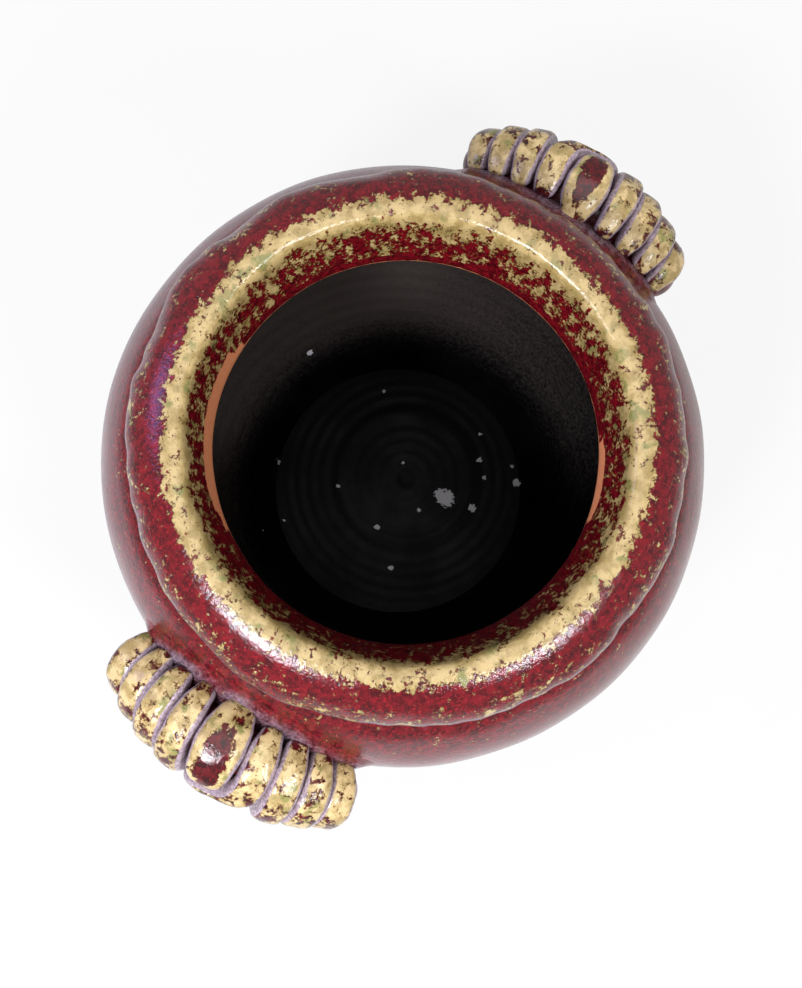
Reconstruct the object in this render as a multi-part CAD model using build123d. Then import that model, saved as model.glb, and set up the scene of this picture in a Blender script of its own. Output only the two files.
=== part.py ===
from build123d import *
from math import acos, atan2, cos, degrees, hypot, sin
import os

# A hand-thrown terracotta urn with two ribbed lug handles, in millimetres.
# The origin is the centre of the foot, +Z is up, and +X runs through the handles.

# Overall form
overall_height = 370.0
foot_radius = 118.0
belly_radius = 217.0
belly_height = 227.0  # height of the widest point, where the two thrown halves are luted
belly_round = 163.0  # radius of the belly's curve below the widest point
shoulder_round = 125.0  # and above it
shoulder_turn = 37.0  # degrees that the upper curve runs before the shoulder flattens
wall_thickness = 14.0
floor_thickness = 24.0

# Rim, a thick coil that stands on the shoulder
rim_height = 48.0
crest_radius = 143.0
crest_roundness = 9.0
collar_radius = 175.0  # the rim's sharp lower edge outside
collar_drop = 27.0  # that edge below the crest
collar_lip = 5.0  # height of the edge's face before it turns under
collar_undercut = 2.0  # how far that face leans in
neck_overhang = 17.0  # how far the collar stands out over the neck
throat_radius = 125.5  # the narrowest point, on the shoulder's inner lip
throat_drop = 56.0
crest_shoulder = 14.4  # how far the crest runs level before it rolls over
collar_lean = 1.0  # how far the roll leans in above its lower edge
collar_fullness = 12.15  # how high the roll stays full above its lower edge
neck_hollow = 6.0  # height of the hollow curve that runs into the neck
lip_thinning = 5.6  # how much the wall is cut back under the throat

# Handles, each a core roll with ribs and a central lobe pressed on it
core_radius = 17.0
core_overrun = 0.25  # of a rib's pitch, past the last rib's middle
core_clearance = 0.05
rib_gap = 0.6  # groove left between neighbouring rolls
roll_fullness = 1.12  # a roll's width before its neighbours press it flat, over its pitch
root_thickness = 4.0  # clay smeared round a handle's foot
root_spread = 8.0
root_clearance = 0.4
ribs_each_side = 4
lobe_rise = 2.0  # how far the lobe stands over the ribs
lobe_groove = 1.2  # groove between the lobe and the rib that curls round its end
handles = {
    "right": {
        "turn": 0.0,  # degrees about the urn's axis
        "stand": 2.0,  # the handle's centre line, out past the belly
        "drop": 94.0,  # the centre line below the crest
        "radius": 36.0,  # over the ribs, at the middle
        "end_radius": 27.0,
        "bow": 7.0,  # how far the ends come back to the wall
        "sag": 21.0,  # how far the ends drop
        "rib_pitch": 16.6,
        "lobe_width": 27.0,
        "offset": -2.0,  # the handle's middle, aside from the urn's X axis
        "lobe_end": 15.0,  # how far the lobe runs out past the centre line
        "lean": 5.0,  # degrees that the ribs slant
    },
    "left": {
        "turn": 180.0,
        "stand": 9.0,
        "drop": 94.0,
        "radius": 38.0,
        "end_radius": 28.0,
        "bow": 9.0,
        "sag": 22.0,
        "rib_pitch": 18.3,
        "lobe_width": 30.0,
        "offset": 6.0,
        "lobe_end": 20.0,
        "lean": 6.0,
    },
}

# Heights and radii that follow
seat_height = overall_height - rim_height
neck_radius = collar_radius - neck_overhang
throat_height = overall_height - throat_drop
collar_height = overall_height - collar_drop


def turned(*lines):
    """The solid that a closed section makes, turned about the urn's axis."""
    face = make_face(Plane.YZ * (Curve() + list(lines)))
    return revolve(face, Axis.Z)


def lower_line(start, move):
    """From start, straight up the flare and round the belly, on the outside moved out by move."""
    centre = (belly_radius - belly_round, belly_height)
    radius = belly_round + move
    away = (start[0] - centre[0], start[1] - centre[1])
    touch = degrees(atan2(away[1], away[0]) + acos(radius / hypot(*away)))
    belly = CenterArc(centre, radius, touch, -touch)
    return [Line(start, belly @ 0), belly]


def shoulder_line(end, move):
    """From the belly round the shoulder to end, on the outside moved out by move."""
    centre = (belly_radius - shoulder_round, belly_height)
    shoulder = CenterArc(centre, shoulder_round + move, 0, shoulder_turn)
    return [shoulder, TangentArc(shoulder @ 1, end, tangent=shoulder % 1)]


def lower_body():
    outside = lower_line((foot_radius, 0), 0)
    rise = outside[0] % 1  # the flare's direction
    floor_edge = (foot_radius + (floor_thickness * rise.X - wall_thickness) / rise.Y, floor_thickness)
    inside = lower_line(floor_edge, -wall_thickness)
    return turned(
        Line((0, 0), (foot_radius, 0)),
        *outside,
        Line(outside[1] @ 1, inside[1] @ 1),
        *inside,
        Line(floor_edge, (0, floor_thickness)),
        Line((0, floor_thickness), (0, 0)),
    )


def throat_seat():
    """Where the rim's inner slope meets the shoulder's lip."""
    share = (rim_height - crest_roundness) / (throat_drop - crest_roundness)
    return (crest_inside()[0] + (throat_radius - crest_inside()[0]) * share, seat_height)


def crest_inside():
    """The inner end of the rounded crest."""
    return (crest_radius - crest_roundness, overall_height - crest_roundness)


def upper_body():
    outside = shoulder_line((neck_radius, seat_height), 0)
    lip = (throat_radius, throat_height)
    under_lip = (throat_radius + lip_thinning, throat_height - lip_thinning)
    inside = shoulder_line(under_lip, -wall_thickness)
    return turned(
        *outside,
        Line((neck_radius, seat_height), throat_seat()),
        Line(throat_seat(), lip),
        Line(lip, under_lip),
        *inside,
        Line(inside[0] @ 0, outside[0] @ 0),
    )


def rim_collar():
    crest = (crest_radius, overall_height)
    edge_top = (collar_radius, collar_height)
    edge_foot = (collar_radius - collar_undercut, collar_height - collar_lip)
    neck = (neck_radius, seat_height)
    throat_slope = Line(throat_seat(), crest_inside())
    return turned(
        Line(neck, throat_seat()),
        throat_slope,
        Bezier(crest_inside(), crest_inside() + (throat_slope % 1) * crest_roundness * 0.8,
               (crest_radius - crest_roundness * 0.5, overall_height), crest),
        Bezier(crest, (crest_radius + crest_shoulder, overall_height),
               (collar_radius - collar_lean, collar_height + collar_fullness), edge_top),
        Line(edge_top, edge_foot),
        Bezier(edge_foot, (neck_radius + collar_undercut, collar_height - collar_lip),
               (neck_radius, seat_height + neck_hollow), neck),
    )


def filled_urn(proud=0.0):
    """The urn's outside up to the neck with nothing hollow, moved out by proud."""
    top = seat_height + proud
    lower = lower_line((foot_radius + proud, 0), proud)
    shoulder = shoulder_line((neck_radius, top), proud)
    return turned(
        Line((0, 0), (foot_radius + proud, 0)),
        *lower,
        *shoulder,
        Line((neck_radius, top), (0, top)),
        Line((0, top), (0, 0)),
    )


class Handle:
    """One ribbed lug, worked out on the +X side and turned to its place."""

    def __init__(self, side):
        self.size = handles[side]
        size = self.size
        self.lobe_edge = size["lobe_width"] / 2
        first = self.lobe_edge + size["rib_pitch"] / 2
        steps = [first + size["rib_pitch"] * i for i in range(ribs_each_side)]
        self.stations = steps[::-1] + [-step for step in steps]  # rib 1 is at the +Y end
        self.half = steps[-1]
        # The centre line is an arc that rises in its middle and comes back to the wall at its ends.
        self.bend = hypot(size["bow"], size["sag"])
        self.radius = (self.half ** 2 + self.bend ** 2) / (2 * self.bend)
        self.outward = Vector(size["bow"], 0, size["sag"]) / self.bend
        self.reach = belly_radius + size["stand"]
        self.middle = Vector(self.reach, size["offset"], overall_height - size["drop"])
        self.centre = self.middle - self.outward * self.radius

    def across(self, station, lean=0.0):
        """A plane across the handle at a distance along its centre line, slanted by lean."""
        angle = station / self.radius
        side = Vector(0, 1, 0)
        point = self.centre + (self.outward * cos(angle) + side * sin(angle)) * self.radius
        along = side * cos(angle) - self.outward * sin(angle)
        return Plane(origin=point, x_dir=self.outward.cross(side), z_dir=along.rotate(Axis.Z, lean))

    def over_ribs(self, station):
        """The radius over the ribs at a station, which tapers to the ends."""
        size = self.size
        return size["radius"] - (size["radius"] - size["end_radius"]) * (station / self.half) ** 2

    def core_shapes(self, grow=0.0):
        """The bent roll that the ribs are pressed on, and a ball for each of its ends."""
        reach = self.half + self.size["rib_pitch"] * core_overrun
        start = self.across(-reach)
        axis = Axis(self.centre, self.outward.cross(Vector(0, 1, 0)))
        swept = revolve(start * Circle(core_radius + grow), axis, degrees(2 * reach / self.radius))
        balls = [Pos(self.across(station).origin) * Sphere(core_radius + grow) for station in (-reach, reach)]
        return [swept, *balls]

    def clear_of_core(self, solid):
        for shape in self.core_shapes(core_clearance):
            solid = solid - shape
        return solid

    def roll(self, station, width, rise=0.0):
        """A roll of clay wrapped round the core, full round on its outside."""
        radius = self.over_ribs(station) + rise
        edge = width / 2
        section = make_face(Curve() + [
            Line((0, -edge), (radius - edge, -edge)),
            ThreePointArc((radius - edge, -edge), (radius, 0), (radius - edge, edge)),
            Line((radius - edge, edge), (0, edge)),
            Line((0, edge), (0, -edge)),
        ])
        wheel = revolve(Plane.XZ * section, Axis.Z)
        return self.across(station, self.size["lean"]) * wheel

    def beyond(self, station, shift):
        """All the space on the +Y side of the plane across a station, moved by shift."""
        wide = 4 * self.size["radius"]
        deep = 4 * self.half
        return self.across(station, self.size["lean"]) * Pos(0, 0, deep / 2 + shift) * Box(wide, wide, deep)

    def between(self, low, high):
        """The wedge of space that belongs to one roll, from low to high along the handle."""
        return self.beyond(low, rib_gap / 2) - self.beyond(high, -rib_gap / 2)

    def lobe_space(self, grow):
        """The space over the handle that the lobe takes, round at its outer end."""
        size = self.size
        tall = 2 * size["radius"]
        end = self.reach + size["lobe_end"] - self.lobe_edge
        middle = Pos(0, self.middle.Y, self.middle.Z + tall / 2 - grow)
        tip = middle * Pos(end, 0, 0) * Cylinder(self.lobe_edge + grow, tall)
        shank = middle * Pos(end - tall, 0, 0) * Box(2 * tall, 3 * size["lobe_width"], tall)
        return tip + shank

    def root(self, urn, smear):
        """Clay smeared on the shoulder round the handle's foot."""
        size = self.size
        ends = [self.across(station).origin for station in (-self.half, 0, self.half)]
        spine = ThreePointArc([(end.Y, end.Z) for end in ends])
        pad = Plane.YZ * SlotArc(spine, size["radius"] + size["end_radius"] + 2 * root_spread)
        smeared = extrude(pad, belly_radius + root_thickness) & smear
        smeared = self.clear_of_core(smeared - urn)
        rolls = [(0.0, size["lobe_width"], lobe_rise)]
        rolls += [(station, size["rib_pitch"], 0.0) for station in self.stations]
        for station, width, rise in rolls:
            radius = self.over_ribs(station) + rise + root_clearance
            smeared -= self.across(station, size["lean"]) * Cylinder(radius, width * roll_fullness)
        return smeared

    def parts(self, urn, smear):
        size = self.size
        pitch = size["rib_pitch"]
        edge = self.lobe_edge
        swept, *balls = self.core_shapes()
        solids = {"handle_core": swept + balls[0] + balls[1] - urn}
        for number, station in enumerate(self.stations, start=1):
            low, high = station - pitch / 2, station + pitch / 2
            rib = self.clear_of_core(self.roll(station, pitch * roll_fullness) - urn)
            solids[f"rib_{number}"] = rib & self.between(low, high)
        wheel = self.clear_of_core(self.roll(0, size["lobe_width"] * roll_fullness, lobe_rise) - urn)
        wheel = wheel & self.between(-edge, edge)
        solids["lobe"] = wheel & self.lobe_space(0)
        # The rib beside the lobe goes on round the lobe's outer end and under it.
        bridge = self.beyond(edge, -rib_gap) - self.beyond(edge, rib_gap)
        bridge = self.clear_of_core(self.roll(edge, pitch) - urn) & bridge
        curl = f"rib_{ribs_each_side}"
        solids[curl] = solids[curl] + ((wheel + bridge) - self.lobe_space(lobe_groove))
        solids["handle_root"] = self.root(urn, smear)
        return {name: Rot(0, 0, size["turn"]) * solid for name, solid in solids.items()}


os.makedirs("parts", exist_ok=True)
pieces = {"lower_body": lower_body(), "upper_body": upper_body(), "rim_collar": rim_collar()}
for side in handles:
    for name, solid in Handle(side).parts(filled_urn(), filled_urn(root_thickness)).items():
        pieces[f"{side}_{name}"] = solid
for name, solid in pieces.items():
    export_step(solid, f"parts/{name}.step")
    print(name, len(solid.solids()), round(solid.volume))
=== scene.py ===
import math
import bpy
import bmesh
import numpy as np
from mathutils import Matrix, Vector, noise


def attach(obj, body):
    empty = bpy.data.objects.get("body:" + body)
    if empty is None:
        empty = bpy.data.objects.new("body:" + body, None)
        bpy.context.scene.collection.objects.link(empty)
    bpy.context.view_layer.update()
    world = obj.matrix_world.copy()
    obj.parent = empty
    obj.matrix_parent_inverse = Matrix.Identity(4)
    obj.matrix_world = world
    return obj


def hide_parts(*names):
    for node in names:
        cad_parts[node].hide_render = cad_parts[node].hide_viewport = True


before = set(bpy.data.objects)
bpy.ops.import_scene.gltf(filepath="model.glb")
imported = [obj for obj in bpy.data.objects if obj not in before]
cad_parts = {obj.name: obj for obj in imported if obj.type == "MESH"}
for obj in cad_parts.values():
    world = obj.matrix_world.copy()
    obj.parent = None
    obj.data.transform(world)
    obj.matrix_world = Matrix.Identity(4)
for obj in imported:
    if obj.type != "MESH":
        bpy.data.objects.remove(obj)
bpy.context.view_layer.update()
print("frame loaded,", len(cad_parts), "nodes")

mm = 0.001


# Colours and nodes
# sRGB hex to the linear colour that a socket takes
def linear(hexColour):
    channels = [int(hexColour[i:i + 2], 16) / 255 for i in (1, 3, 5)]
    return tuple(c / 12.92 if c <= 0.04045 else ((c + 0.055) / 1.055) ** 2.4 for c in channels) + (1.0,)


# Sets or links a node's inputs; a node given as a value passes on its first live output
def feed(tree, node, inputs):
    for key, value in inputs.items():
        if isinstance(value, bpy.types.Node):
            value = next(output for output in value.outputs if output.enabled)
        if isinstance(value, bpy.types.NodeSocket):
            tree.links.new(value, node.inputs[key])
        else:
            node.inputs[key].default_value = value


def addNode(tree, kind, inputs=None, **settings):
    node = tree.nodes.new("ShaderNode" + kind)
    for name, value in settings.items():
        setattr(node, name, value)
    feed(tree, node, inputs or {})
    return node


def newMaterial(name):
    material = bpy.data.materials.new(name)
    material.use_nodes = True
    tree = material.node_tree
    surface = tree.nodes["Principled BSDF"]
    place = addNode(tree, "TexCoord").outputs["Object"]
    return material, tree, surface, place


smooth = {"interpolation_type": "SMOOTHSTEP"}
inColour = {"data_type": "RGBA"}
perMetre = 1000  # patch sizes are in millimetres, a pattern's scale is in patches per metre

glazeLook = {
    "deep": "#3c060b", "red": "#660c15", "bright": "#82121d",
    "ochre": "#8b7647", "cream": "#ab9464", "olive": "#747040", "chip": "#33130f",
    "pool": "#77666f", "poolDark": "#53434b", "clay": "#cf8459", "clayDark": "#b0663f",
    "mottle": 5.0, "peel": 2.0, "flake": 6.5, "crumb": 2.5, "tone": 9.0, "stain": 14.0, "speck": 1.1,
    "flakeSpread": 2.7, "crumbSpread": 1.7, "drawnOut": 0.42,
    "skin": 0.4, "gloss": (0.09, 0.16), "ior": 1.52,
}
# The handles' rolls took a paler ochre, with browner chips and a lighter grey in the grooves
rollLook = {
    "deep": "#2b080a", "red": "#520d12", "bright": "#6e1118",
    "ochre": "#9c8556", "cream": "#c6ad7c", "olive": "#7f7b46",
    "pool": "#a8969f", "poolDark": "#85737c", "crumbSpread": 1.2, "flake": 8.0,
}


# Oxblood glaze, kiln fired: glossy, broken to ochre on edges, grey where it pooled, orange peel skin
def brokenGlaze(name, ochreShare=0.0, poolShare=0.0, change=None):
    look = {**glazeLook, **(change or {})}
    hue = {part: linear(value) for part, value in look.items() if isinstance(value, str)}
    material, tree, surface, place = newMaterial(name)

    # Red, clouded and finely mottled
    mottle = addNode(tree, "TexNoise", {"Vector": place, "Scale": perMetre / look["mottle"],
                                        "Detail": 4.0, "Roughness": 0.6})
    peel = addNode(tree, "TexNoise", {"Vector": place, "Scale": perMetre / look["peel"],
                                      "Detail": 3.0, "Roughness": 0.6})
    share = addNode(tree, "MapRange", {"Value": mottle, "From Min": 0.35, "From Max": 0.65}, **smooth)
    red = addNode(tree, "Mix", {0: share, 6: hue["deep"], 7: hue["red"]}, **inColour)
    share = addNode(tree, "MapRange", {"Value": peel, "From Min": 0.52, "From Max": 0.72}, **smooth)
    red = addNode(tree, "Mix", {0: share, 6: red, 7: hue["bright"]}, **inColour)

    # Ochre breaks through where flakes, crumbs and the painted share add up to more than a half.
    # Flakes are drawn out downwards, as the glaze ran; crumbs make their edges ragged and prick them
    drawnOut = addNode(tree, "Mapping", {"Vector": place, "Scale": (1, 1, look["drawnOut"])})
    flakes = addNode(tree, "TexNoise", {"Vector": drawnOut, "Scale": perMetre / look["flake"],
                                        "Detail": 7.0, "Roughness": 0.62, "Distortion": 0.4})
    crumbs = addNode(tree, "TexNoise", {"Vector": place, "Scale": perMetre / look["crumb"],
                                        "Detail": 3.0, "Roughness": 0.7})
    painted = addNode(tree, "Attribute", attribute_name="ochre").outputs["Fac"]
    level = ochreShare - 0.5 * (look["flakeSpread"] + look["crumbSpread"])
    lifted = addNode(tree, "Math", {0: flakes, 1: look["flakeSpread"], 2: level}, operation="MULTIPLY_ADD")
    lifted = addNode(tree, "Math", {0: crumbs, 1: look["crumbSpread"], 2: lifted}, operation="MULTIPLY_ADD")
    lifted = addNode(tree, "Math", {0: lifted, 1: painted}, operation="ADD")
    broken = addNode(tree, "MapRange", {"Value": lifted, "From Min": 0.46, "From Max": 0.54}, **smooth)

    # Its colour: ochre to cream, stained olive, thinner and darker towards its edge, with dark specks
    tone = addNode(tree, "TexNoise", {"Vector": place, "Scale": perMetre / look["tone"],
                                      "Detail": 4.0, "Roughness": 0.6})
    share = addNode(tree, "MapRange", {"Value": tone, "From Min": 0.38, "From Max": 0.6}, **smooth)
    ochre = addNode(tree, "Mix", {0: share, 6: hue["ochre"], 7: hue["cream"]}, **inColour)
    stain = addNode(tree, "TexNoise", {"Vector": place, "Scale": perMetre / look["stain"],
                                       "Detail": 3.0, "Roughness": 0.55})
    share = addNode(tree, "MapRange", {"Value": stain, "From Min": 0.56, "From Max": 0.68}, **smooth)
    ochre = addNode(tree, "Mix", {0: share, 6: ochre, 7: hue["olive"]}, **inColour)
    share = addNode(tree, "MapRange", {"Value": lifted, "From Min": 0.72, "From Max": 0.5}, **smooth)
    ochre = addNode(tree, "Mix", {0: share, 6: ochre, 7: hue["ochre"]}, blend_type="MULTIPLY", **inColour)
    speck = addNode(tree, "TexNoise", {"Vector": place, "Scale": perMetre / look["speck"],
                                       "Detail": 2.0, "Roughness": 0.55})
    share = addNode(tree, "MapRange", {"Value": speck, "From Min": 0.66, "From Max": 0.72}, **smooth)
    ochre = addNode(tree, "Mix", {0: share, 6: ochre, 7: hue["chip"]}, **inColour)
    colour = addNode(tree, "Mix", {0: broken, 6: red, 7: ochre}, **inColour)

    # Grey where the glaze pooled
    painted = addNode(tree, "Attribute", attribute_name="pool").outputs["Fac"]
    level = addNode(tree, "Math", {0: mottle, 1: poolShare - 0.5}, operation="ADD")
    level = addNode(tree, "Math", {0: level, 1: painted}, operation="ADD")
    pooled = addNode(tree, "MapRange", {"Value": level, "From Min": 0.25, "From Max": 0.85}, **smooth)
    share = addNode(tree, "MapRange", {"Value": peel, "From Min": 0.4, "From Max": 0.6}, **smooth)
    pool = addNode(tree, "Mix", {0: share, 6: hue["poolDark"], 7: hue["pool"]}, **inColour)
    colour = addNode(tree, "Mix", {0: pooled, 6: colour, 7: pool}, **inColour)

    # Bare clay where the glaze was wiped off
    painted = addNode(tree, "Attribute", attribute_name="bare").outputs["Fac"]
    level = addNode(tree, "Math", {0: tone, 1: -0.5}, operation="ADD")
    level = addNode(tree, "Math", {0: level, 1: painted}, operation="ADD")
    wiped = addNode(tree, "MapRange", {"Value": level, "From Min": 0.47, "From Max": 0.53}, **smooth)
    clay = addNode(tree, "Mix", {0: peel, 6: hue["clayDark"], 7: hue["clay"]}, **inColour)
    colour = addNode(tree, "Mix", {0: wiped, 6: colour, 7: clay}, **inColour)

    # Ochre is a little duller than red, pooled glaze duller still, and the clay is matt
    sharp, dull = look["gloss"]
    gloss = addNode(tree, "MapRange", {"Value": broken, "To Min": sharp, "To Max": dull}, **smooth)
    gloss = addNode(tree, "Math", {0: wiped, 1: 0.6, 2: gloss}, operation="MULTIPLY_ADD")
    gloss = addNode(tree, "Math", {0: pooled, 1: 0.1, 2: gloss}, operation="MULTIPLY_ADD")
    height = addNode(tree, "Math", {0: peel, 1: 0.8}, operation="MULTIPLY")
    height = addNode(tree, "Math", {0: broken, 1: 0.22, 2: height}, operation="MULTIPLY_ADD")
    height = addNode(tree, "Math", {0: mottle, 1: 0.35, 2: height}, operation="MULTIPLY_ADD")
    skin = addNode(tree, "Bump", {"Strength": 1.0, "Distance": look["skin"] * mm, "Height": height})
    feed(tree, surface, {"Base Color": colour, "Roughness": gloss, "IOR": look["ior"], "Normal": skin})
    return material


# The coat's pale wall colour is painted light, standing for the lit upper inside wall
coatLook = {
    "dark": "#030304", "pale": "#080708", "dust": "#342e2b", "drops": "#b9b7bb",
    "cloud": 40.0, "grit": 2.5, "gloss": (0.38, 0.55), "ior": 1.5, "shine": 0.07, "skin": 0.6,
}


# Black bitumen paint brushed inside the clay: satin, thin, with painted light on its upper walls and a few
# drops of white paint
def blackCoat(name):
    look = coatLook
    hue = {part: linear(value) for part, value in look.items() if isinstance(value, str)}
    material, tree, surface, place = newMaterial(name)
    cloud = addNode(tree, "TexNoise", {"Vector": place, "Scale": perMetre / look["cloud"],
                                       "Detail": 5.0, "Roughness": 0.6})
    grit = addNode(tree, "TexNoise", {"Vector": place, "Scale": perMetre / look["grit"],
                                      "Detail": 3.0, "Roughness": 0.55})
    level = addNode(tree, "Math", {0: grit, 1: -0.5}, operation="ADD")
    share = addNode(tree, "MapRange", {"Value": cloud, "From Min": 0.35, "From Max": 0.7}, **smooth)
    colour = addNode(tree, "Mix", {0: share, 6: hue["dark"], 7: hue["pale"]}, **inColour)
    # Painted light: the inside wall is painted paler towards its top and on one side, where light falls in
    # through the mouth
    painted = addNode(tree, "Attribute", attribute_name="dust").outputs["Fac"]
    dust = addNode(tree, "Math", {0: level, 1: painted}, operation="ADD")
    share = addNode(tree, "MapRange", {"Value": dust, "From Min": 0.15, "From Max": 0.95}, **smooth)
    colour = addNode(tree, "Mix", {0: share, 6: colour, 7: hue["dust"]}, **inColour)
    painted = addNode(tree, "Attribute", attribute_name="fleck").outputs["Fac"]
    fleck = addNode(tree, "Math", {0: level, 1: painted}, operation="ADD")
    dropped = addNode(tree, "MapRange", {"Value": fleck, "From Min": 0.46, "From Max": 0.54}, **smooth)
    colour = addNode(tree, "Mix", {0: dropped, 6: colour, 7: hue["drops"]}, **inColour)
    sharp, dull = look["gloss"]
    gloss = addNode(tree, "MapRange", {"Value": cloud, "From Min": 0.3, "From Max": 0.7,
                                       "To Min": sharp, "To Max": dull}, **smooth)
    height = addNode(tree, "Math", {0: dropped, 1: 0.6, 2: grit}, operation="MULTIPLY_ADD")
    skin = addNode(tree, "Bump", {"Strength": 0.35, "Distance": look["skin"] * mm, "Height": height})
    feed(tree, surface, {"Base Color": colour, "Roughness": gloss, "IOR": look["ior"],
                         "Specular IOR Level": look["shine"], "Normal": skin})
    return material


clayLook = {
    "dark": "#a55f3d", "pale": "#c98259", "stain": "#8d5138",
    "grit": 1.2, "patch": 25.0, "roughness": 0.85, "skin": 0.5,
}


# Fired clay with no glaze, wiped with a sponge: matt orange, gritty
def bareTerracotta(name):
    look = clayLook
    hue = {part: linear(value) for part, value in look.items() if isinstance(value, str)}
    material, tree, surface, place = newMaterial(name)
    grit = addNode(tree, "TexNoise", {"Vector": place, "Scale": perMetre / look["grit"],
                                      "Detail": 4.0, "Roughness": 0.7})
    patch = addNode(tree, "TexNoise", {"Vector": place, "Scale": perMetre / look["patch"],
                                       "Detail": 3.0, "Roughness": 0.55})
    share = addNode(tree, "MapRange", {"Value": grit, "From Min": 0.35, "From Max": 0.65}, **smooth)
    colour = addNode(tree, "Mix", {0: share, 6: hue["dark"], 7: hue["pale"]}, **inColour)
    share = addNode(tree, "MapRange", {"Value": patch, "From Min": 0.45, "From Max": 0.7}, **smooth)
    colour = addNode(tree, "Mix", {0: share, 6: colour, 7: hue["stain"]}, **inColour)
    skin = addNode(tree, "Bump", {"Strength": 0.5, "Distance": look["skin"] * mm, "Height": grit})
    feed(tree, surface, {"Base Color": colour, "Roughness": look["roughness"], "Normal": skin})
    return material


materials = {
    "glaze": brokenGlaze("oxblood_glaze"),
    "rolls": brokenGlaze("ochre_broken_glaze", 0.0, 0.0, rollLook),
    "roots": brokenGlaze("pooled_glaze", -0.05, 0.35),
    "black": blackCoat("black_bitumen_coat"),
    "clay": bareTerracotta("bare_terracotta"),
}
print("materials made")

# The photograph's camera, fitted to the urn's circles
photo = {
    "width": 802, "height": 988, "focal": 1050, "place": (-0.0840, -0.0337, 0.9918),
    "turn": -56.3, "tip": 4.99, "roll": -1.25,  # degrees
}
cameraTurn = (Matrix.Rotation(math.radians(photo["turn"]), 4, "Z")
              @ Matrix.Rotation(math.radians(photo["tip"]), 4, "X")
              @ Matrix.Rotation(math.radians(photo["roll"]), 4, "Y"))
cameraData = bpy.data.cameras.new("photo_camera")
cameraData.sensor_width = 36
cameraData.lens = photo["focal"] * 36 / photo["height"]
cameraData.clip_start = 0.01
camera = bpy.data.objects.new("photo_camera", cameraData)
camera.matrix_world = Matrix.Translation(photo["place"]) @ cameraTurn
bpy.context.scene.collection.objects.link(camera)
bpy.context.scene.camera = camera


# The direction in which the camera sees a pixel of the photograph
def sightLine(x, y):
    aim = Vector((x - photo["width"] / 2, photo["height"] / 2 - y, -photo["focal"]))
    return (cameraTurn.to_3x3() @ aim).normalized()


# An angle about the urn's axis, from one counted in the picture from its right hand side
def photoAngle(degreesUp):
    return math.radians(degreesUp + photo["turn"])


# The urn's section, in millimetres, as the solids have it
form = {
    "height": 370, "foot": 118, "flareTop": (197.9, 150.5), "belly": (217, 227), "bellyRound": 163,
    "shoulderRound": 125, "shoulderTurn": 37, "wall": 14, "floor": 24, "floorEdge": 114.9,
    "neck": (158, 322), "seat": (126.95, 322), "lip": (125.5, 314), "underLip": (131.1, 308.4),
    "crestInside": (134, 361), "crest": (143, 370), "collar": (175, 343), "collarFoot": (173, 338),
    "segments": 640, "lowerSegments": 420,  # fewer below, where there are more rows
}


def arc(centre, radius, start, end, count):
    turns = [math.radians(start + (end - start) * i / count) for i in range(count + 1)]
    return [(centre[0] + radius * math.cos(t), centre[1] + radius * math.sin(t)) for t in turns]


# The arc that leaves start along heading (degrees) and reaches end
def tangentArc(start, heading, end, count):
    normal = (-math.sin(math.radians(heading)), math.cos(math.radians(heading)))
    across = (end[0] - start[0], end[1] - start[1])
    radius = (across[0] ** 2 + across[1] ** 2) / (2 * (across[0] * normal[0] + across[1] * normal[1]))
    centre = (start[0] + normal[0] * radius, start[1] + normal[1] * radius)
    first = math.degrees(math.atan2(start[1] - centre[1], start[0] - centre[0]))
    last = math.degrees(math.atan2(end[1] - centre[1], end[0] - centre[0]))
    last += 360 * round((first - last) / 360)
    return arc(centre, abs(radius), first, last, count)


def run(start, end, count):
    return [(start[0] + (end[0] - start[0]) * i / count, start[1] + (end[1] - start[1]) * i / count)
            for i in range(count + 1)]


def bezier(points, count):
    shares = [((1 - t) ** 3, 3 * t * (1 - t) ** 2, 3 * t * t * (1 - t), t ** 3)
              for t in [i / count for i in range(count + 1)]]
    return [tuple(np.array(share) @ np.array(points)) for share in shares]


# A smooth irregular wave round the urn, between -1 and 1, that closes on itself
def ripple(angle, other, seed, waves=7, low=2, high=9, lengthwise=0.03):
    dice = np.random.default_rng(seed)
    total = np.zeros(np.broadcast(angle, other).shape)
    for wave in range(waves):
        count = int(dice.integers(low, high))
        slant = dice.uniform(-lengthwise, lengthwise)
        total += np.sin(count * angle + slant * other + dice.uniform(0, 6.283))
    return total / math.sqrt(waves * 3.0)


def ramp(value, low, high):
    share = np.clip((value - low) / (high - low), 0, 1)
    return share * share * (3 - 2 * share)


# Turns a section of (radius, height, kind) about the urn's axis, then shapes and paints its points
def turnedPiece(name, section, closed, shape, paint, slots, count=form["segments"]):
    angle = np.linspace(0, 2 * math.pi, count, endpoint=False)[:, None]
    radius = np.array([p[0] for p in section])[None, :] + 0 * angle
    height = np.array([p[1] for p in section])[None, :] + 0 * angle
    kinds = [p[2] for p in section]
    angle = angle + 0 * radius
    masks = paint(radius, height, angle, kinds)
    newRadius, newHeight = shape(radius, height, angle, kinds)
    spots = np.stack([newRadius * np.cos(angle), newRadius * np.sin(angle), newHeight], axis=-1) * mm
    rows = len(section)
    faces = []
    faceKinds = []
    for i in range(count):
        for j in range(rows if closed else rows - 1):
            n, k = (i + 1) % count, (j + 1) % rows
            faces.append((i * rows + j, n * rows + j, n * rows + k, i * rows + k))
            faceKinds.append(slots.index(kinds[j][:5]) if kinds[j][:5] in slots else 0)
    mesh = paintedMesh(name, spots.reshape(-1, 3).tolist(), faces, masks, faceKinds)
    return addPiece(name, mesh, [materials[s] for s in slots])


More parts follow.
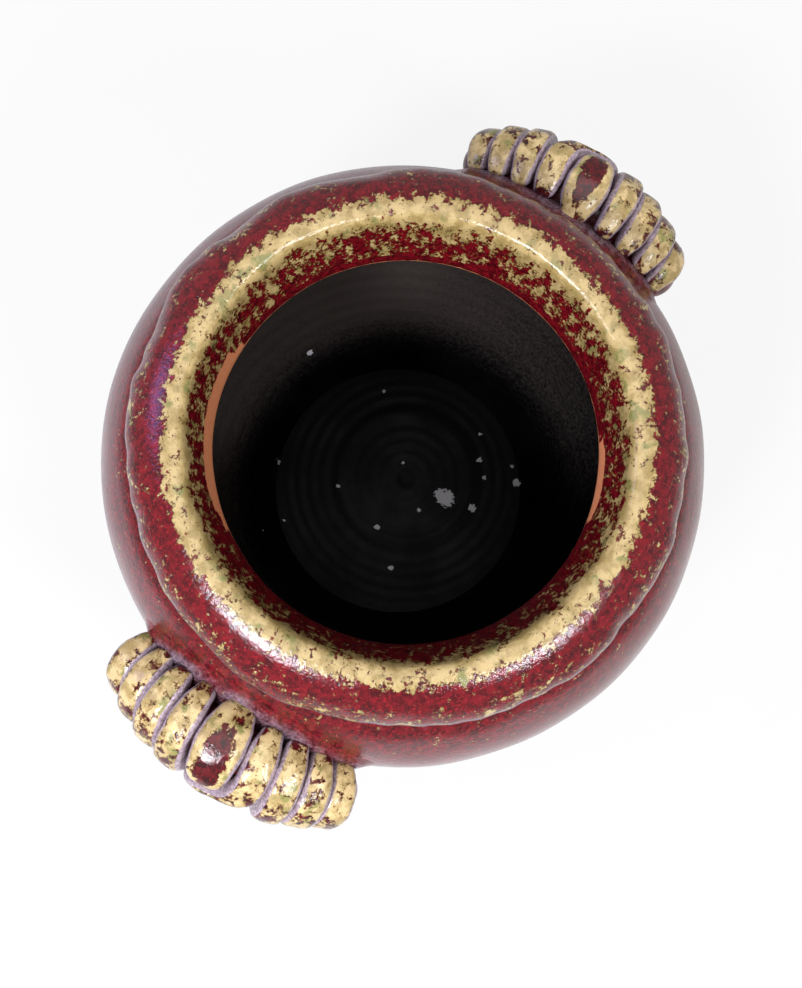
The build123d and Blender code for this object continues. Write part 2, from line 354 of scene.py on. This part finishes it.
# A mesh whose points keep their painted shares and whose faces look outwards
def paintedMesh(name, spots, faces, masks, faceKinds=None):
    mesh = bpy.data.meshes.new(name)
    mesh.from_pydata(spots, [], faces)
    if faceKinds:
        mesh.polygons.foreach_set("material_index", faceKinds)
    for label, values in masks.items():
        layer = mesh.attributes.new(label, "FLOAT", "POINT")
        layer.data.foreach_set("value", np.asarray(values, np.float32).ravel())
    work = bmesh.new()
    work.from_mesh(mesh)
    if faceKinds:  # a turned section meets itself on the axis
        bmesh.ops.remove_doubles(work, verts=work.verts, dist=1e-6)
    bmesh.ops.recalc_face_normals(work, faces=work.faces)
    work.to_mesh(mesh)
    work.free()
    return mesh


def addPiece(name, mesh, finish):
    for polygon in mesh.polygons:
        polygon.use_smooth = True
    mesh.set_sharp_from_angle(angle=math.radians(42))
    piece = bpy.data.objects.new(name, mesh)
    bpy.context.scene.collection.objects.link(piece)
    for material in finish:
        mesh.materials.append(material)
    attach(piece, "root")
    return piece


handles = {
    "right": {"turn": 0, "reach": 219, "drop": 94, "radius": 36, "endRadius": 27, "bow": 7, "sag": 21,
              "pitch": 16.6, "lobeWidth": 27, "offset": -2, "lean": 5, "lobeTip": 56},
    "left": {"turn": 180, "reach": 226, "drop": 94, "radius": 38, "endRadius": 28, "bow": 9, "sag": 22,
             "pitch": 18.3, "lobeWidth": 30, "offset": 6, "lean": 6, "lobeTip": 48},
}


def handleSpan(size):
    return size["lobeWidth"] / 2 + size["pitch"] * 3.5


# How far a point of the wall lies outside the handle's outline, in millimetres, below 0 under it
def handleGap(size, radius, height, angle):
    turn = angle - math.radians(size["turn"])
    along = radius * np.sin(turn)
    out = radius * np.cos(turn)
    share = np.clip((along - size["offset"]) / handleSpan(size), -1, 1)
    reach = size["reach"] - size["bow"] * share ** 2
    level = form["height"] - size["drop"] - size["sag"] * share ** 2
    over = size["radius"] - (size["radius"] - size["endRadius"]) * share ** 2
    beyond = np.maximum(np.abs(along - size["offset"]) - handleSpan(size) - 4, 0)
    across = np.hypot(out - reach, height - level) - over
    return np.where(beyond > 0, np.hypot(np.maximum(across, 0), beyond), across)


# Glaze ran down the handles and lies grey where they meet the shoulder
def poolNearHandles(radius, height, angle):
    pool = np.zeros(radius.shape)
    for size in handles.values():
        near = np.cos(angle - math.radians(size["turn"])) > 0
        gap = handleGap(size, radius, height, angle)
        pool = np.maximum(pool, np.where(near, 1 - ramp(gap, 2, 15), 0))
    return pool


throwing = {  # millimetres
    "slowWobble": 0.5, "quickWobble": 0.3, "keptInside": 0.9, "ringPitch": 12.5, "ringDepth": 0.45,
    "spiralShift": 13, "spiralPitch": 11, "spiralDepth": 0.16,
    "floorRing": (60, 5, 1.1), "dimple": (7, 1.2),  # radius, spread, rise; spread, depth
}


# Thrown and pressed by hand: a slow wobble outside, throwing rings inside
def bodyShape(radius, height, angle, kinds):
    inside = np.array([k.startswith("black") for k in kinds])[None, :]
    floor = np.array([k == "blackFloor" for k in kinds])[None, :]
    fade = ramp(322 - height, 0, 24) * ramp(height, 0, 12)
    slow = ripple(angle, height, 3) * throwing["slowWobble"]
    quick = ripple(angle, height, 9, 9, 8, 20, 0.12) * throwing["quickWobble"]
    wobble = (slow + quick - throwing["keptInside"]) * fade
    rings = np.sin(height * 2 * math.pi / throwing["ringPitch"] + 2.2 * np.sin(angle + height / 60))
    rings = rings * throwing["ringDepth"]
    rings = rings * ramp(height, 30, 60) * ramp(300 - height, 0, 20)
    newRadius = radius + np.where(inside, rings, wobble)
    offCentre = radius * np.cos(angle) - throwing["spiralShift"]
    fromMiddle = np.hypot(offCentre, radius * np.sin(angle))
    ringAt, ringSpread, ringRise = throwing["floorRing"]
    dimpleSpread, dimpleDepth = throwing["dimple"]
    swirl = np.cos(fromMiddle * 2 * math.pi / throwing["spiralPitch"] + 0.6 * np.sin(angle))
    swirl = swirl * throwing["spiralDepth"] + ringRise * np.exp(-((fromMiddle - ringAt) / ringSpread) ** 2)
    swirl = swirl - dimpleDepth * np.exp(-(fromMiddle / dimpleSpread) ** 2)
    swirl = swirl * ramp(form["floorEdge"] - radius, 2, 20)
    return np.where(floor, radius, newRadius), height + np.where(floor, swirl, 0)


flecksInPhoto = [  # pixel across, pixel down, radius in millimetres
    (310, 353, 3.2), (446, 498, 7.5), (440, 494, 5.0), (472, 508, 3.6), (479, 460, 2.6), (516, 483, 3.4),
    (377, 527, 2.6), (391, 568, 2.4), (278, 462, 2.4), (419, 510, 1.8), (512, 466, 1.8), (403, 463, 1.6),
    (338, 486, 1.8), (484, 478, 2.2), (262, 530, 1.8), (480, 434, 1.6), (384, 391, 1.6), (284, 520, 1.5),
]


def innerRadius(height):
    centre, turn = form["belly"][0] - form["bellyRound"], form["bellyRound"] - form["wall"]
    if height > form["belly"][1]:
        centre, turn = form["belly"][0] - form["shoulderRound"], form["shoulderRound"] - form["wall"]
    if height < 157:
        return form["floorEdge"] + (height - form["floor"]) * 0.5308
    return centre + math.sqrt(max(turn ** 2 - (height - form["belly"][1]) ** 2, 0))


# Where each drop of white paint lies inside, found along the camera's line of sight
def paintDrops():
    spots = []
    for across, down, size in flecksInPhoto:
        aim = sightLine(across, down)
        spot = Vector(photo["place"]) / mm
        while spot.z > form["floor"] and (spot.z > 308 or math.hypot(spot.x, spot.y) < innerRadius(spot.z)):
            spot += aim * 0.5
        spots.append((spot, size))
    return spots


drops = paintDrops()


# The glaze was wiped off the lip on two sides: degrees in the picture, spreads in radians on lip and rim
wipedLip = {"left": (176, 0.50, 0.46), "right": (-9, 0.22, 0.20)}


# 1 near an angle of the picture, falling to 0 a spread away from it
def roundAbout(angle, degrees, spread):
    return np.exp(-((np.mod(angle - photoAngle(degrees) + math.pi, 2 * math.pi) - math.pi) / spread) ** 4)


def bodyPaint(radius, height, angle, kinds):
    x, y = radius * np.cos(angle), radius * np.sin(angle)
    fleck = np.zeros(radius.shape)
    for spot, size in drops:
        away = np.sqrt((x - spot.x) ** 2 + (y - spot.y) ** 2 + (height - spot.z) ** 2)
        fleck = np.maximum(fleck, 1.1 - 0.6 * away / size)
    lip = np.array([k == "glazeLip" for k in kinds])[None, :]
    left = roundAbout(angle, wipedLip["left"][0], wipedLip["left"][1])
    right = roundAbout(angle, wipedLip["right"][0], wipedLip["right"][1])
    bare = np.where(lip, 0.15 + left * 1.0 + right * 0.9 + 0.5 * ramp(315 - height, 0, 3), 0.0)
    pool = poolNearHandles(radius, height, angle) * 0.75 + 0.45 * ramp(height, 308, 320) * (radius > 150)
    ochre = 0.06 * ripple(angle, height, 21, 9, 3, 14, 0.1) - 0.12
    ochre = ochre + 0.16 * ramp(height, 230, 300) * (radius > 140)
    # Painted light on the inside wall: paler towards the top and on the side where light falls in, with a
    # little random tone
    litSide = 0.6 + 0.4 * np.cos(angle - photoAngle(120))
    dust = 0.85 * ramp(height, 26, 105) * litSide + 0.08 * ripple(angle, height, 5, 6, 2, 6, 0.05)
    return {"ochre": ochre, "pool": pool, "bare": bare, "fleck": fleck, "dust": dust}


def kind(points, label):
    return [(p[0], p[1], label) for p in points]


bellyCentre = (form["belly"][0] - form["bellyRound"], form["belly"][1])
shoulderCentre = (form["belly"][0] - form["shoulderRound"], form["belly"][1])
wall = form["wall"]
touch = math.degrees(math.atan2(form["flareTop"][1] - bellyCentre[1], form["flareTop"][0] - bellyCentre[0]))
innerBelly = arc(bellyCentre, form["bellyRound"] - wall, 0, touch, 36)
foot = form["foot"]
footEdge = bezier([(foot - 4, 0), (foot - 1, 0), (foot, 1), (foot + 1, 4)], 4)
lowerSection = (
    kind(run((0, 0), (foot - 4, 0), 12)[:-1], "clay")
    + kind(footEdge, "clay")
    + kind(run((foot + 2, 6), form["flareTop"], 44)[:-1], "glaze")
    + kind(arc(bellyCentre, form["bellyRound"], touch, 0, 28), "glaze")
    + kind(innerBelly, "black")
    + kind(run(innerBelly[-1], (form["floorEdge"] + 4, form["floor"] + 7), 44)[1:], "black")
    + kind(run((form["floorEdge"] - 2, form["floor"]), (0, form["floor"]), 58), "blackFloor")
)
lowerBody = turnedPiece("lower_body_thrown", lowerSection, False, bodyShape, bodyPaint,
                        ["glaze", "black", "clay"], form["lowerSegments"])
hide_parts("lower_body")

shoulderEnd = arc(shoulderCentre, form["shoulderRound"], 0, form["shoulderTurn"], 30)
innerEnd = arc(shoulderCentre, form["shoulderRound"] - wall, 0, form["shoulderTurn"], 30)
heading = 90 + form["shoulderTurn"]
upperSection = (
    kind(shoulderEnd[:-1], "glaze")
    + kind(tangentArc(shoulderEnd[-1], heading, form["neck"], 20)[:-1], "glaze")
    + kind(run(form["neck"], form["seat"], 8)[:-1], "glaze")
    + kind(bezier([form["seat"], (126.0, 317), (form["lip"][0], 312), (127.6, 309.6)], 12), "glazeLip")
    + kind(bezier([(127.6, 309.6), (129, 308.6), (130, 308.4), form["underLip"]], 4)[1:], "black")
    + kind(tangentArc(innerEnd[-1], heading, form["underLip"], 26)[-2::-1], "black")
    + kind(innerEnd[-2::-1], "black")
)
upperBody = turnedPiece("upper_body_thrown", upperSection, True, bodyShape, bodyPaint, ["glaze", "black"])
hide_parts("upper_body")
print("thrown body made")


rimLook = {
    "pinched": (2.3, 0.8), "edgeDip": 1.3, "crestDip": 0.55, "slopeSwell": 0.9,  # millimetres
    "brokeMost": 70,  # degrees in the picture: the far side of the mouth
    "slope": 0.33, "slopeFarSide": 0.12, "slopeUpper": 0.20, "slopeCrest": 0.36, "slopeFoot": 0.10,
    "band": 0.88, "bandEdge": 149.6, "bandFade": (6.5, 5.5), "bandDrop": 0.80,
    "edgeWear": 0.42, "edgePool": 0.62,
}


# The collar was pinched round by hand, so its edge wanders
def rimShape(radius, height, angle, kinds):
    edge = ramp(radius, 160, 174)
    broad, narrow = rimLook["pinched"]
    pressed = ripple(angle, 0 * height, 31, 8, 4, 17) * broad
    pressed = pressed + ripple(angle, 0 * height, 32, 8, 20, 60) * narrow
    top = ramp(height, 345, 370) * ramp(radius, 132, 142)
    sunk = (ripple(angle, radius, 33, 6, 2, 8) - 1.3) * rimLook["crestDip"]
    inner = ramp(height, 326, 350) * (1 - ramp(radius, 138, 150))
    swell = ripple(angle, height, 34, 8, 5, 26, 0.1) * rimLook["slopeSwell"] * inner
    dip = edge * ripple(angle, 0 * height, 35, 7, 3, 12) * rimLook["edgeDip"]
    return radius + pressed * edge + swell, height + sunk * top + dip


def rimPaint(radius, height, angle, kinds):
    outside = np.array([k == "glaze" for k in kinds])[None, :]
    look = rimLook
    towards = 0.5 + 0.5 * np.cos(angle - photoAngle(look["brokeMost"]))
    fringe = look["slope"] + look["slopeFarSide"] * towards
    fringe = fringe + look["slopeUpper"] * ramp(height, 347, 359)
    fringe = fringe + look["slopeCrest"] * ramp(height, 360, 366.5)
    fringe = fringe - look["slopeFoot"] * ramp(334 - height, 0, 12)
    fringe = fringe + 0.07 * ripple(angle, height, 41, 8, 5, 30, 0.1)
    outer = look["bandEdge"] + 1.0 * ripple(angle, 0 * height, 42, 8, 6, 40)
    fadeIn, fadeOut = look["bandFade"]
    band = look["band"] - ramp(radius, outer - fadeIn, outer + fadeOut) * look["bandDrop"]
    under = 0.12 + 0.14 * ripple(angle, radius, 43, 9, 6, 30, 0.1) + 0.20 * ramp(radius, 160, 170)
    edgeWear = ramp(ripple(angle, 0 * height, 44, 9, 5, 40), -0.4, 0.9)
    under = under * ramp(radius, 153, 165) + look["edgeWear"] * edgeWear * ramp(radius, 172.4, 174.4)
    ochre = np.where(outside, np.where(radius < 154.5, band, under), fringe)
    pool = (0.16 + 0.2 * ripple(angle, 0 * height, 45, 8, 4, 24)) * ramp(radius, 166, 171)
    pool = pool + look["edgePool"] * ramp(radius, 172.9, 174.2) * (1 - 0.4 * edgeWear)
    pool = np.where(outside, pool, 0)
    pool = np.where(np.array([k == "glazeUnder" for k in kinds])[None, :], 0.5, pool)
    left = roundAbout(angle, wipedLip["left"][0], wipedLip["left"][2])
    right = roundAbout(angle, wipedLip["right"][0], wipedLip["right"][2])
    bare = (1.0 - ramp(height, 327, 337)) * left + (1.0 - ramp(height, 322, 328)) * right
    bare = np.where(outside, 0, bare * (radius < 132))
    return {"ochre": ochre, "pool": pool, "bare": bare}


crestIn, crest, collar = form["crestInside"], form["crest"], form["collar"]
rimSection = (
    kind(run(form["neck"], form["seat"], 6)[:-1], "glazeUnder")
    + kind(run(form["seat"], crestIn, 40)[:-1], "glazeSlope")
    + kind(bezier([crestIn, (135.3, 368.0), (138.5, 370), crest], 12)[:-1], "glazeSlope")
    + kind(bezier([crest, (157.4, 370), (174, 355.2), collar], 44)[:-1], "glaze")
    + kind(bezier([collar, (175.6, 341.5), (175.2, 339), form["collarFoot"]], 6)[:-1], "glaze")
    + kind(bezier([form["collarFoot"], (160, 338), (158, 328), form["neck"]], 14)[:-1], "glazeUnder")
)
rim = turnedPiece("rim_collar_rolled", rimSection, True, rimShape, rimPaint, ["glaze"])
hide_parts("rim_collar")
print("rim made")


# Handles: rolls of clay pressed over a core, each bent by hand
def urnRadius(height):
    if height >= 302:
        return 191.8 - (height - 302) * 1.7
    if height >= form["belly"][1]:
        return shoulderCentre[0] + math.sqrt(form["shoulderRound"] ** 2 - (height - form["belly"][1]) ** 2)
    if height > form["flareTop"][1]:
        return bellyCentre[0] + math.sqrt(form["bellyRound"] ** 2 - (height - form["belly"][1]) ** 2)
    return form["foot"] + height * 0.5308


# A lug's bent centre line and the wheel round it at each station, in millimetres
class HandleForm:
    def __init__(self, size):
        self.size = size
        self.half = handleSpan(size)
        bend = math.hypot(size["bow"], size["sag"])
        self.radius = (self.half ** 2 + bend ** 2) / (2 * bend)
        self.outward = Vector((size["bow"], 0, size["sag"])) / bend
        middle = Vector((size["reach"], size["offset"], form["height"] - size["drop"]))
        self.centre = middle - self.outward * self.radius

    def overRibs(self, station):
        share = min(abs(station) / self.half, 1.1)
        return self.size["radius"] - (self.size["radius"] - self.size["endRadius"]) * share ** 2

    # A point at a turn (degrees up from straight out) round the centre line
    def spot(self, station, turn, radius, aside=0.0):
        angle = station / self.radius
        side = Vector((0, 1, 0))
        origin = self.centre + (self.outward * math.cos(angle) + side * math.sin(angle)) * self.radius
        along = side * math.cos(angle) - self.outward * math.sin(angle)
        along = Matrix.Rotation(math.radians(self.size["lean"]), 3, "Z") @ along
        out = along.cross(Vector((0, 0, 1))).normalized()
        up = out.cross(along)
        t = math.radians(turn)
        return origin + (out * math.cos(t) + up * math.sin(t)) * radius + along * aside

    # The turn, going from first to last, at which a roll has sunk so far into the wall
    def contact(self, station, radius, first, last, sunk):
        for i in range(200):
            turn = first + (last - first) * i / 199
            spot = self.spot(station, turn, radius)
            if math.hypot(spot.x, spot.y) < urnRadius(spot.z) - sunk:
                return turn
        return last


rolls = {
    "ribThick": 9.0, "overlap": 2.3, "lobeThick": 10.0, "lobeRise": 1.6, "ribDrop": 0.4,  # millimetres
    "sunkTop": -2.0, "sunkUnder": 3.5, "sunkLobe": -1.5,  # how far each end has run into the wall
    "squareness": 2.9, "ribSteps": 120, "lobeSteps": 110, "around": 40,
}


# A roll along a path of (station, turn, half width, half thickness, height over the core's line)
def rollPiece(name, node, handle, path, seed, paint, count=rolls["ribSteps"]):
    turnAbout = Matrix.Rotation(math.radians(handle.size["turn"]), 3, "Z")
    shift = Vector((seed * 3.1, seed * 1.7, 0))
    around, square = rolls["around"], rolls["squareness"]
    stops = np.linspace(0, 1, len(path))
    table = np.array(path, float)
    spots, masks = [], []
    for i in range(count + 1):
        u = i / count
        # smooth through the path's points
        values = [smoothAlong(stops, table[:, c], u) for c in range(table.shape[1])]
        ease = 0.5 * (1 - math.cos(math.pi * min(u, 1 - u) / 0.06)) if min(u, 1 - u) < 0.06 else 1.0
        station, turn, halfWidth, halfThick, over = values
        for j in range(around):
            v = 2 * math.pi * j / around
            cosV, sinV = math.cos(v), math.sin(v)
            wide = math.copysign(abs(cosV) ** (2 / square), cosV) * halfWidth * math.sqrt(ease)
            deep = math.copysign(abs(sinV) ** (2 / square), sinV) * halfThick * math.sqrt(ease)
            point = handle.spot(station, turn, over - halfThick + deep - (1 - ease) * halfThick * 0.5, wide)
            lump = noise.noise((point + shift) / 11) * 0.8 + noise.noise((point + shift) / 4) * 0.25 - 0.5
            middle = handle.spot(station, turn, over - halfThick, 0)
            away = (point - middle).normalized() if (point - middle).length > 1e-4 else Vector((0, 0, 0))
            point = point + away * lump * ease
            spots.append(turnAbout @ point * mm)
            masks.append(paint(u, wide / max(halfWidth, 0.1), turn))
    faces = []
    for i in range(count):
        for j in range(around):
            k = (j + 1) % around
            faces.append((i * around + j, (i + 1) * around + j, (i + 1) * around + k, i * around + k))
    faces.append(tuple(range(around)))
    faces.append(tuple(count * around + j for j in reversed(range(around))))
    shares = {"ochre": [m[0] for m in masks], "pool": [m[1] for m in masks]}
    mesh = paintedMesh(name, [tuple(s) for s in spots], faces, shares)
    piece = addPiece(name, mesh, [materials["rolls"]])
    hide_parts(node)


# Catmull-Rom through evenly spaced values
def smoothAlong(stops, values, u):
    last = len(values) - 1
    i = min(int(u * last), last - 1)
    t = u * last - i
    before, a, b, after = values[max(i - 1, 0)], values[i], values[i + 1], values[min(i + 2, last)]
    return 0.5 * (2 * a + (b - before) * t + (2 * before - 5 * a + 4 * b - after) * t * t
                  + (3 * a - before - 3 * b + after) * t ** 3)


# Shares of ochre and grey along (u), across (wide) and round (turn, degrees) a roll
rollPaint = {
    "rib": 0.80, "ribEnds": 0.3, "groove": 0.1, "underside": 0.2, "grooveFrom": (0.67, 0.79),
    "worn": (0.24, 38, 22),  # how much, at which turn, over how many degrees
    "patchAt": (0.6, 0.06), "patchSize": (0.42, 0.62), "patch": 0.1, "round": 0.8, "lobeEnd": 0.35,
}


def ribPaint(u, wide, turn):
    look = rollPaint
    amount, at, spread = look["worn"]
    groove = ramp(np.array(abs(wide)), *look["grooveFrom"])
    ends = 1 - ramp(np.array(u), 0.03, 0.14)
    ochre = look["rib"] - look["ribEnds"] * ends - look["groove"] * groove - look["underside"] * (turn < -45)
    ochre = ochre - amount * math.exp(-((turn - at) / spread) ** 2)
    return float(ochre), float(0.8 * groove + 0.3 * ends)


# The red showed through in a patch on each lobe
def lobePaint(u, wide, turn):
    look = rollPaint
    along, across = look["patchAt"]
    longer, wider = look["patchSize"]
    patch = math.hypot((u - along) / longer, (wide - across + 0.2 * (u - along)) / wider)
    ochre = look["patch"] + look["round"] * float(ramp(np.array(patch), 0.6, 1.15))
    ochre = ochre - look["lobeEnd"] * float(1 - ramp(np.array(u), 0.05, 0.2))
    return ochre, 0.95 * float(ramp(np.array(abs(wide)), 0.8, 0.93))


# Clay smeared from the handle on to the shoulder: a smooth web that dies away into the wall
def rootWeb(side, size):
    line = [(p[0], p[1]) for p in lowerSection if p[2] == "glaze" and p[1] > 165]
    line += [(p[0], p[1]) for p in upperSection if p[2] == "glaze" and p[1] < 321.5 and p[0] > 158]
    line = np.array(sorted(set(line), key=lambda p: p[1]))
    slope = np.gradient(line, axis=0)
    slope = slope / np.linalg.norm(slope, axis=1)[:, None]
    reachAround = math.asin((handleSpan(size) + 34) / 200)
    turns = np.linspace(-reachAround, reachAround, 220)[:, None] + math.radians(size["turn"])
    turns = turns + math.radians(0.3 * size["offset"]) * (1 if size["turn"] == 0 else -1)
    radius, height = line[None, :, 0] + 0 * turns, line[None, :, 1] + 0 * turns
    turns = turns + 0 * radius
    gap = handleGap(size, radius, height, turns)
    newRadius, newHeight = bodyShape(radius, height, turns, ["glaze"] * len(line))
    lift = 4.2 * (1 - ramp(gap, -3, 13)) ** 1.3 - 1.6 * ramp(gap, 9, 17)
    lift = lift + 0.25 * ripple(turns, height, 61, 8, 8, 30, 0.2)
    sheets = []
    for extra in (lift, 0 * lift - 4.0):
        r = newRadius + slope[None, :, 1] * extra
        z = newHeight - slope[None, :, 0] * extra
        sheets.append(np.stack([r * np.cos(turns), r * np.sin(turns), z], axis=-1).reshape(-1, 3) * mm)
    rows, cols = radius.shape
    total = rows * cols
    faces = []
    for i in range(rows - 1):
        for j in range(cols - 1):
            a, b, c, d = i * cols + j, (i + 1) * cols + j, (i + 1) * cols + j + 1, i * cols + j + 1
            faces += [(a, b, c, d), (d + total, c + total, b + total, a + total)]
    border = [i * cols for i in range(rows)] + [(rows - 1) * cols + j for j in range(1, cols)]
    border += [i * cols + cols - 1 for i in range(rows - 2, -1, -1)] + list(range(cols - 2, 0, -1))
    faces += [(a, b, b + total, a + total) for a, b in zip(border, border[1:] + border[:1])]
    pool = (1.0 - ramp(gap, 0, 13)) * (0.62 + 0.2 * ripple(turns, height, 63, 8, 10, 40, 0.2))
    ochre = 0.1 * ripple(turns, height, 62, 8, 8, 40, 0.2) - 0.05
    shares = {"pool": np.tile(pool.ravel(), 2), "ochre": np.tile(ochre.ravel(), 2)}
    mesh = paintedMesh(side + "_root_web", np.concatenate(sheets).tolist(), faces, shares)
    web = addPiece(side + "_handle_web", mesh, [materials["glaze"]])
    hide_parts(side + "_handle_root")


for side, size in handles.items():
    handle = HandleForm(size)
    edge, pitch = size["lobeWidth"] / 2, size["pitch"]
    steps = [edge + pitch * (i + 0.5) for i in range(4)]
    stations = steps[::-1] + [-s for s in steps]
    for number, station in enumerate(stations, start=1):
        over = handle.overRibs(station) - rolls["ribDrop"]
        thick = rolls["ribThick"]
        wide = pitch * 0.5 + rolls["overlap"]
        start = handle.contact(station, over - thick, 80, 200, rolls["sunkTop"])
        end = handle.contact(station, over - thick, -30, -180, rolls["sunkUnder"])
        if number == 4:  # it bends round the lobe's outer end and goes on under it
            tip = size["lobeTip"] - 24
            path = [(station, start, wide * 0.6, thick * 0.8, over - 0.5),
                    (station, start * 0.62 + 40 * 0.38, wide, thick, over),
                    (station * 0.98, tip + 34, wide, thick, over),
                    (station * 0.74, tip + 8, wide, thick, over),
                    (station * 0.30, tip - 3, wide * 1.45, thick, over),
                    (station * 0.22, tip - 30, wide * 1.9, thick, over),
                    (station * 0.35, -50, wide * 1.75, thick, over),
                    (station * 0.35, end, wide * 1.6, thick, over)]
        else:
            widths = ((0, 0.6), (0.15, 0.92), (0.3, 1.0), (0.5, 1.0), (0.7, 1.0), (0.85, 1.0), (1, 0.9))
            path = [(station, start + (end - start) * t, wide * w, thick * (0.82 + 0.18 * w), over)
                    for t, w in widths]
        name = f"{side}_rib_{number}"
        rollPiece(name + "_pressed", name, handle, path, number + (20 if side == "left" else 0), ribPaint)
    over = handle.overRibs(0) + rolls["lobeRise"]
    thick = rolls["lobeThick"]
    start = handle.contact(0, over - thick, 80, 200, rolls["sunkLobe"])
    tip = size["lobeTip"]
    path = [(0, start, edge * 0.66, thick * 0.85, over - 1.5),
            (0, start + (tip - start) * 0.25, edge * 1.02, thick, over - 0.4),
            (0, start + (tip - start) * 0.5, edge * 1.16, thick, over),
            (0, start + (tip - start) * 0.75, edge * 1.12, thick, over),
            (0, start + (tip - 6 - start) * 0.9, edge * 1.0, thick * 0.95, over - 0.2),
            (0, tip - 6, edge * 0.78, thick * 0.85, over - 1.6)]
    rollPiece(f"{side}_lobe_pressed", f"{side}_lobe", handle, path, 50 + len(side), lobePaint,
              rolls["lobeSteps"])
    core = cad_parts[f"{side}_handle_core"]
    core.data.materials.clear()
    core.data.materials.append(materials["roots"])
    rootWeb(side, size)
print("handles made")

# Floor, lamps and world
stage = {"size": 12, "floor": "#c6c4c1", "whiteness": 0.84, "skyLight": 0.45}  # metres, shares of white


# 1 where the camera looks at it, or sees it through glass
def seenDirectly(tree):
    rays = addNode(tree, "LightPath")
    seen = {0: rays.outputs["Is Camera Ray"], 1: rays.outputs["Is Transmission Ray"]}
    return addNode(tree, "Math", seen, operation="MAXIMUM")


half = stage["size"] / 2
corners = [(-half, -half, 0), (half, -half, 0), (half, half, 0), (-half, half, 0)]
floorMesh = bpy.data.meshes.new("floor")
floorMesh.from_pydata(corners, [], [(0, 1, 2, 3)])
floor = bpy.data.objects.new("floor", floorMesh)
bpy.context.scene.collection.objects.link(floor)
paper, tree, surface, place = newMaterial("studio_paper")  # matt white paper, plain
feed(tree, surface, {"Base Color": linear(stage["floor"]), "Roughness": 0.9})
glow = addNode(tree, "Emission", {"Color": (1, 1, 1, 1), "Strength": 1.0})
share = addNode(tree, "Math", {0: seenDirectly(tree), 1: stage["whiteness"]}, operation="MULTIPLY")
mixed = addNode(tree, "MixShader", {0: share, 1: surface, 2: glow})
feed(tree, tree.nodes["Material Output"], {"Surface": mixed})
floorMesh.materials.append(paper)

lamps = {  # degrees about the axis, degrees up, distance, width, height (metres), watts, colour
    "window_left": (171, 49, 1.7, 0.36, 0.34, 36, "#f4f7ff"),
    "window_front": (-108, 49, 1.7, 0.27, 0.24, 18, "#f6f8ff"),
    "sky_patch": (106, 34, 1.8, 0.3, 0.8, 7, "#8f8fe8"),
    "ceiling": (20, 84, 2.4, 2.2, 2.2, 22, "#ffffff"),
}
for name, (around, up, distance, wide, tall, watts, hue) in lamps.items():
    light = bpy.data.lights.new(name, "AREA")
    light.shape = "RECTANGLE"
    light.size, light.size_y = wide, tall
    light.energy = watts
    light.color = linear(hue)[:3]
    lamp = bpy.data.objects.new(name, light)
    a, e = math.radians(around), math.radians(up)
    towards = Vector((math.cos(a) * math.cos(e), math.sin(a) * math.cos(e), math.sin(e)))
    target = Vector((0, 0, 0.33))
    lamp.location = target + towards * distance
    lamp.rotation_euler = (target - lamp.location).to_track_quat("-Z", "Y").to_euler()
    bpy.context.scene.collection.objects.link(lamp)

world = bpy.data.worlds.new("studio")
world.use_nodes = True
bpy.context.scene.world = world
tree = world.node_tree
skyLight = addNode(tree, "MapRange", {"Value": seenDirectly(tree), "To Min": stage["skyLight"], "To Max": 1.0})
feed(tree, tree.nodes["Background"], {"Color": (1, 1, 1, 1), "Strength": skyLight})
bpy.context.scene.view_settings.view_transform = "Standard"
print("stage, lamps and camera set")
